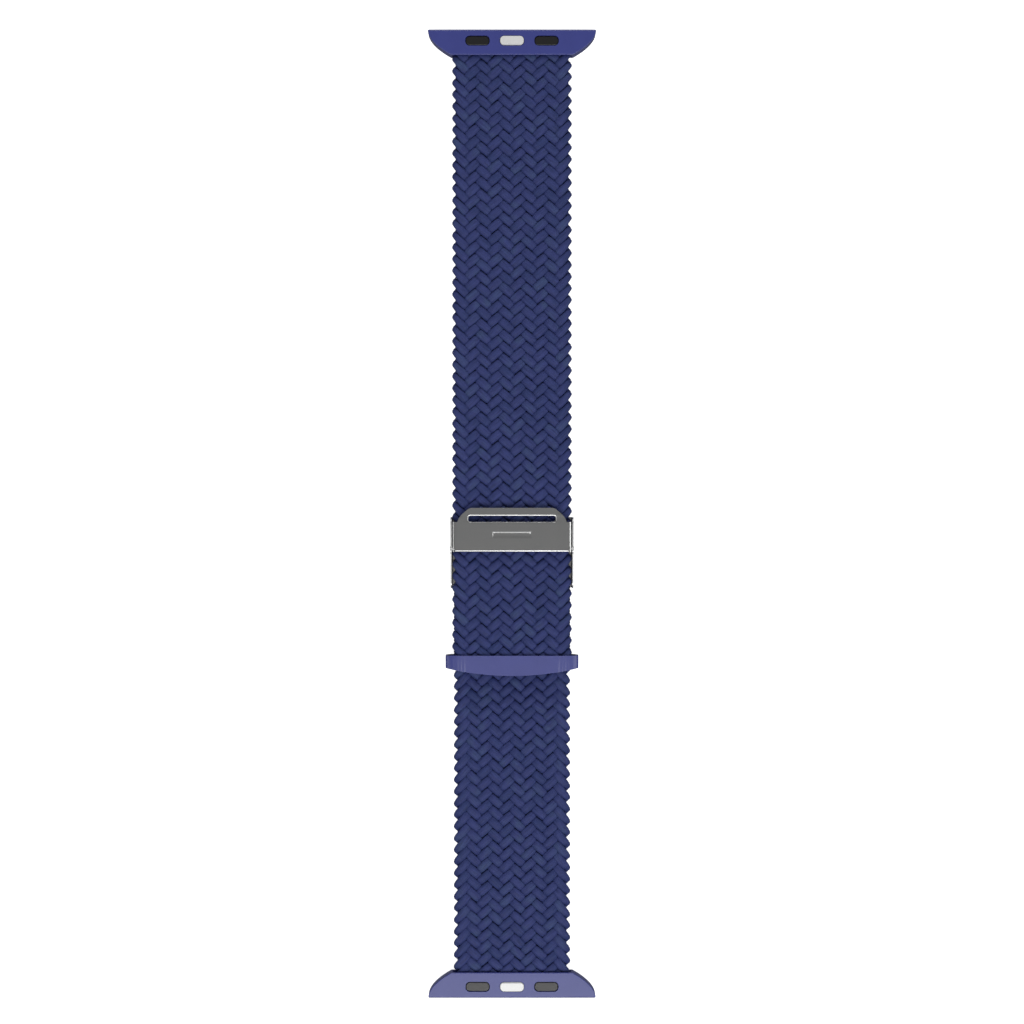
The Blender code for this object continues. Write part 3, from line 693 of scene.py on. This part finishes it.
def lug_body(side, surface):
    face = side.bottom + LUG_THICKNESS
    obj = new_object(f"{side.name}_lug",
                     rounded_plate(lug_outline(side), side.bottom, face, LUG_RIM_RADIUS))
    end = LUG_END_RADIUS
    profile = [(lug_y(side, LUG_DEPTH + 1), face + 1), (lug_y(side, LUG_DEPTH + 1), side.bottom - 1)]
    rounding = arc((0, side.bottom + end), (end, end), -90, 0, 8)
    rounding += arc((0, face - end), (end, end), 0, 90, 8)
    profile += [(lug_y(side, end - u), z) for u, z in rounding]
    profile += [(lug_y(side, end), face + 1)]
    boolean(obj, swept(profile, -LUG_HALF - 1, LUG_HALF + 1, "X"), "INTERSECT")
    for x in (-SLOT_PITCH, SLOT_PITCH):
        boolean(obj, swept(slot_outline(side, x), face - 1.0, face + 1.0))
    boolean(obj, swept(slot_outline(side, 0.0), side.bottom + SLOT_FLOOR, face + 1.0))
    pocket, pocket_top = SPRING_POCKET
    boolean(obj, cuboid((-pocket, pocket), y_span(side, SLOT_U - SLOT_HALF[1], SLOT_U + SLOT_HALF[1]),
                        (side.bottom - 1.0, side.bottom + pocket_top)))
    middle = side.bottom + LUG_THICKNESS / 2
    socket = rounded_rectangle((0, middle), SOCKET_HALF, 0.9)
    boolean(obj, swept(socket, *y_span(side, SOCKET_U, LUG_DEPTH + 1.0), "Y"))
    pierce(obj, [(x, lug_y(side, DOWEL_U)) for x in (-DOWEL_X, DOWEL_X)], DOWEL_RADIUS,
           (side.bottom - 1.0, middle + 1.45))
    eased(obj, 0.09)
    dressed(obj, surface, side.body, "anodised", f"{side.name}_lug_body")


def lug_pads(side, surface):
    face = side.bottom + LUG_THICKNESS
    for label, x in (("left", -SLOT_PITCH), ("right", SLOT_PITCH)):
        outline = slot_outline(side, x, GAP)
        obj = new_object(f"{side.name}_pad_skin_{label}",
                         rounded_plate(outline, face - 0.9, face - PAD_RECESS, 0.12, 3))
        obj.data.shade_smooth()
        obj.modifiers.new("flats", "WEIGHTED_NORMAL")
        applied(obj)
        dressed(obj, surface, side.body, "pad", f"{side.name}_pad_{label}")


def lug_latch(side, surface):
    """The latch's tongue with its sloped strap side, and the flange that keeps it in."""
    face = side.bottom + LUG_THICKNESS
    wide, low, high = LATCH_FLANGE
    obj = new_object(f"{side.name}_latch",
                     swept(slot_outline(side, 0.0, GAP), side.bottom + low, face + LATCH_RISE))
    half = SLOT_HALF[1] - GAP
    boolean(obj, cuboid((-wide, wide), y_span(side, SLOT_U - half, SLOT_U + half),
                        (side.bottom + low, side.bottom + high)), "UNION")
    start = lug_y(side, SLOT_U + LATCH_RAMP_U)
    past = lug_y(side, SLOT_U + half + 1.0)
    ramp = [(start, face + 1.0), (start, face + LATCH_RISE),
            (lug_y(side, SLOT_U + half + GAP), face - LATCH_RISE),
            (past, face - LATCH_RISE), (past, face + 1.0)]
    boolean(obj, swept(ramp, -2.6, 2.6, "X"))
    eased(obj, 0.06)
    dressed(obj, surface, side.lock, "latch", f"{side.name}_lock_button")


def lock_spring(side, surface):
    """The arched leaf under the latch, which in the real lock flattens on its cover plate as the latch
    goes in; here it keeps its arched shape.
    """
    half, half_width, sheet = LEAF
    low, high = (side.bottom + level for level in LEAF_LEVELS)
    steps = 24
    crown = [(half * (2 * i / steps - 1), low + (high - low - sheet) * math.sin(math.pi * i / steps))
             for i in range(steps + 1)]
    outline = crown + [(x, z + sheet) for x, z in reversed(crown)]
    middle = lug_y(side, SLOT_U)
    obj = new_object(f"{side.name}_leaf", swept(outline, middle - half_width, middle + half_width, "Y"))
    dressed(obj, surface, side.body, "latch", f"{side.name}_lock_spring")
    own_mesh(obj)


# Buckle


def buckle_base(surface):
    """A folded channel: floor and two walls, high round the hinge and low past it."""
    outer = WALL_INNER_X + WALL_THICKNESS
    right = arc((outer - 0.7, 0.7), (0.7, 0.7), -90, 0, 10)
    right += [(outer, WALL_HIGH_Z), (WALL_INNER_X, WALL_HIGH_Z), (WALL_INNER_X, FLOOR_THICKNESS)]
    obj = new_object("buckle_channel", swept(mirrored(right), *BUCKLE_SPAN, "Y"))
    end, top = BUCKLE_SPAN
    side = [(end, -1.0), (top, -1.0)]
    side += arc((top - 1.2, WALL_HIGH_Z - 1.2), (1.2, 1.2), 0, 90, 14)
    side += arc((BUCKLE_STEP_Y + 0.5, WALL_HIGH_Z - 0.5), (0.5, 0.5), 90, 180, 10)
    side += [(BUCKLE_STEP_Y, WALL_LOW_Z)]
    side += arc((end + 1.0, WALL_LOW_Z - 1.0), (1.0, 1.0), 90, 180, 14)
    boolean(obj, swept(side, -outer - 1, outer + 1, "X"), "INTERSECT")
    boolean(obj, rod(HINGE, HINGE_PIN_RADIUS + PIN_GAP, (-outer - 1, outer + 1), "X"))
    pierce(obj, RIVET_PLACES, RIVET_RADIUS + PIN_GAP, (-1.0, 1.5))
    pierce(obj, RIVET_PLACES, RIVET_HEAD_RADIUS + PIN_GAP, (-1.0, 0.35))
    eased(obj, 0.1)
    dressed(obj, surface, "short_strap", "steel", "buckle_base")


def lever_section():
    """The lever seen along Y: a flat plate whose two sides bend down."""
    inner = tuple(radius - LEVER_THICKNESS for radius in LEVER_BEND)
    bend = (LEVER_HALF_WIDTH - LEVER_BEND[0], LEVER_TOP_Z - LEVER_BEND[1])
    right = arc(bend, inner, 90, 0, 6)
    right += [(LEVER_HALF_WIDTH - LEVER_THICKNESS, LEVER_SKIRT_Z), (LEVER_HALF_WIDTH, LEVER_SKIRT_Z)]
    right += arc(bend, LEVER_BEND, 0, 90, 20)
    return mirrored(right)


def lever_plan():
    """The lever seen from above: a tapered finger end, then full width back to the hinge."""
    back = HINGE[0] - BARREL_RADIUS
    wide = LEVER_HALF_WIDTH + 1
    right = [(wide, back - 1), (wide, LEVER_SKIRT_Y), (LEVER_SHOULDER[0], LEVER_SKIRT_Y)]
    corner = arc((LEVER_TIP_HALF, LEVER_TIP_Y - LEVER_TIP_RADIUS),
                 (LEVER_TIP_RADIUS, LEVER_TIP_RADIUS), 45, 90, 12)
    right += bowed(LEVER_SHOULDER, LEVER_FLANK, corner[0], 16)[:-1]
    return mirrored(right + corner)


def lever_side():
    """The lever seen along X: round the hinge barrel, flat above, with a soft back edge."""
    edge, ahead, over = 0.25, LEVER_TIP_Y + 1, LEVER_TOP_Z + 1
    back = HINGE[0] - BARREL_RADIUS
    outline = arc(HINGE, (BARREL_RADIUS, BARREL_RADIUS), 180, 270, 14)
    outline += [(ahead, HINGE[1] - BARREL_RADIUS), (ahead, over), (back + edge + 1, over),
                (back + edge, LEVER_TOP_Z)]
    outline += arc((back + edge, LEVER_TOP_Z - edge), (edge, edge), 90, 180, 5)[1:]
    return outline


def groove_cutter():
    """A shallow pressed groove across the lever that runs out at both ends."""
    middle, (reach, half), depth = LEVER_GROOVE
    gentle = [(-0.1, 0.0), (0.0, 0.15), (0.2, 0.85), (0.3, 1.0)]
    steep = [(-0.05, 0.0), (-0.01, 0.2), (0.04, 0.8), (0.08, 1.0)]
    rings = []
    for i in range(65):
        t = i / 32 - 1
        deep = depth * min(1.0, 0.02 + (1 - abs(t)) / 0.07)
        side = [(middle - half + a, LEVER_TOP_Z - deep * b) for a, b in gentle]
        side += [(middle + half - a, LEVER_TOP_Z - deep * b) for a, b in reversed(steep)]
        ring = [(side[0][0], LEVER_TOP_Z + 1)] + side + [(side[-1][0], LEVER_TOP_Z + 1)]
        rings.append([(reach * t, y, z) for y, z in ring])
    return lofted(rings)


def lever(surface):
    obj = new_object("lever_plate",
                     swept(lever_section(), HINGE[0] - BARREL_RADIUS, LEVER_TIP_Y, "Y"))
    boolean(obj, swept(lever_plan(), LEVER_SKIRT_Z - 1, LEVER_TOP_Z + 1), "INTERSECT")
    inside = LEVER_HALF_WIDTH - LEVER_THICKNESS / 2
    boolean(obj, rod(HINGE, BARREL_RADIUS - 0.01, (-inside, inside), "X"), "UNION")
    boolean(obj, cuboid((-TEETH_BAR_HALF, TEETH_BAR_HALF), TEETH_Y,
                        (TEETH_BAR_Z, LEVER_TOP_Z - LEVER_THICKNESS / 2)), "UNION")
    for i in range(TEETH_COUNT):
        x = TEETH_PITCH * (i - TEETH_COUNT // 2)
        tooth = [(x - TOOTH_HALF, TOOTH_ROOT_Z), (x, UPPER_STRAP_TOP + GAP),
                 (x + TOOTH_HALF, TOOTH_ROOT_Z)]
        boolean(obj, swept(tooth, TEETH_Y[0] + 0.1, TEETH_Y[1] - 0.1, "Y"), "UNION")
    boolean(obj, swept(lever_side(), -WALL_INNER_X - 1, WALL_INNER_X + 1, "X"), "INTERSECT")
    boolean(obj, rod(HINGE, HINGE_PIN_RADIUS + PIN_GAP, (-WALL_INNER_X, WALL_INNER_X), "X"))
    y, half, corner, rim = FINGER_SLOT
    slot = rounded_rectangle((0, y), half, corner)
    boolean(obj, flared_cutter(slot, LEVER_SKIRT_Z, LEVER_TOP_Z, rim))
    boolean(obj, groove_cutter())
    first, step, count = SHADING_ROWS
    eased(obj, 0.09, rows=[first + step * i for i in range(count)])
    dressed(obj, surface, "lever", "steel", "buckle_lever")


# Keeper


def keeper_outline(shrink):
    """The keeper seen along Y: long soft upper corners and round lower ones."""
    half, top = KEEPER_HALF_WIDTH - shrink, KEEPER_TOP_Z - shrink
    soft = tuple(radius - shrink for radius in KEEPER_SOFT)
    low = KEEPER_LOW_OUTER if shrink == 0 else KEEPER_LOW_INNER
    right = arc((half - low, shrink + low), (low, low), -90, 0, 14)
    right += arc((half - soft[0], top - soft[1]), soft, 0, 90, 20)
    return mirrored(right)


def keeper(surface):
    bowed_y = KEEPER_TOP_Y - KEEPER_DEPTH
    obj = new_object("keeper_sleeve", swept(keeper_outline(0.0), bowed_y, KEEPER_TOP_Y, "Y"))
    boolean(obj, swept(keeper_outline(KEEPER_WALL), KEEPER_POCKET_Y, KEEPER_TOP_Y + 1, "Y"))
    passage = rounded_rectangle((0, 1.65), (KEEPER_HALF_WIDTH - KEEPER_WALL, 1.2), 0.9)
    boolean(obj, swept(passage, bowed_y - 1, KEEPER_TOP_Y + 1, "Y"))
    steps = 40
    bow = [(KEEPER_HALF_WIDTH * i / steps,
            bowed_y + (KEEPER_DEPTH - KEEPER_END_DEPTH) * (i / steps) ** 2)
           for i in range(-steps, steps + 1)]
    wide, ahead = KEEPER_HALF_WIDTH + 1, KEEPER_TOP_Y + 1
    plan = bow + [(wide, bow[-1][1]), (wide, ahead), (-wide, ahead), (-wide, bow[0][1])]
    boolean(obj, swept(plan, -1.0, KEEPER_TOP_Z + 1), "INTERSECT")
    pierce(obj, KEEPER_PINS, 0.45, (UPPER_STRAP_TOP - 2.1, KEEPER_TOP_Z - 0.2))
    eased(obj, 0.1)
    dressed(obj, surface, "long_strap", "anodised", "keeper_loop")


# Remaining CAD nodes


def dress_nodes(steel):
    """The nodes that keep their CAD shape: pins, rivets, plates and covers."""
    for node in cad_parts.values():
        if node.hide_render:
            continue
        node.data.materials.clear()
        node.data.materials.append(steel)
        for face in node.data.polygons:
            face.material_index = 0


# Stage, light and camera


def white_surface(name, emission):
    made = Surface(name, 0.9)
    made.set("Base Color", (0.9, 0.9, 0.9, 1.0))
    made.set("Emission Color", (1.0, 1.0, 1.0, 1.0))
    made.set("Emission Strength", emission)
    return made.made


def staged(name, mesh, surface):
    """Part of the studio: seen and shadowed, but not mirrored in the band."""
    obj = new_object(name, mesh)
    obj.data.materials.append(surface)
    obj.visible_glossy = False
    obj.visible_diffuse = False
    return obj


def studio():
    """A white floor just under the band and a white shell round everything."""
    size, level = 3000.0, -0.05
    corners = [(-size, -size), (size, -size), (size, size), (-size, size)]
    mesh = bmesh.new()
    mesh.faces.new([mesh.verts.new((x, y, level)) for x, y in corners])
    staged("floor", mesh, white_surface("floor_white", 0.85))
    mesh = bmesh.new()
    bmesh.ops.create_icosphere(mesh, subdivisions=4, radius=4500.0)
    staged("backdrop", mesh, white_surface("backdrop_white", 1.0)).visible_shadow = False


def softbox(name, tilt, heading, distance, size, radiance):
    """An area light aimed at the band; tilt is from straight up, heading 0 is +Y and 90 is +X."""
    light = bpy.data.lights.new(name, "AREA")
    light.shape = "RECTANGLE"
    light.size, light.size_y = size
    light.energy = radiance * math.pi * size[0] * size[1]
    obj = bpy.data.objects.new(name, light)
    a, b = math.radians(tilt), math.radians(heading)
    place = Vector((math.sin(a) * math.sin(b), math.sin(a) * math.cos(b), math.cos(a))) * distance
    obj.location = place
    obj.rotation_euler = (-place).to_track_quat("-Z", "Y").to_euler()
    obj.visible_camera = False
    bpy.context.scene.collection.objects.link(obj)


def lights():
    world = bpy.data.worlds.new("studio")
    world.use_nodes = True
    background = world.node_tree.nodes["Background"]
    background.inputs["Color"].default_value = (1.0, 1.0, 1.0, 1.0)
    background.inputs["Strength"].default_value = 0.16
    bpy.context.scene.world = world
    softbox("key", 31, 180, 1.4, (1.5, 0.75), 3.0)
    softbox("left", 70, -90, 1.4, (1.6, 0.35), 1.7)
    softbox("right", 62, 90, 1.4, (1.6, 0.6), 1.8)
    softbox("back", 60, 0, 1.4, (1.4, 0.5), 2.1)


def camera():
    data = bpy.data.cameras.new("camera")
    height, width = 0.43, 0.1889
    data.sensor_width = 36.0
    data.lens = 36.0 * height / width
    data.clip_start = 0.01
    obj = bpy.data.objects.new("camera", data)
    obj.location = (0.0, 0.00024, 0.0045 + height)
    bpy.context.scene.collection.objects.link(obj)
    bpy.context.scene.camera = obj
    bpy.context.scene.view_settings.view_transform = "Standard"


def build():
    braid_cloth = braid_surface()
    blue = anodised_surface()
    steel = steel_surface("satin_steel", 0.205)
    tumbled = steel_surface("tumbled_steel", 0.4)
    bright = bright_surface()
    rubber = rubber_surface()

    braid(UPPER, UPPER_MIDDLE, braid_cloth)
    braid(LOWER, LOWER_MIDDLE, braid_cloth)
    for side in (UPPER, LOWER):
        lug_body(side, blue)
        lug_pads(side, rubber)
        lug_latch(side, bright)
        lock_spring(side, bright)
    buckle_base(tumbled)
    lever(steel)
    keeper(blue)
    dress_nodes(steel)
    studio()
    lights()
    camera()


build()
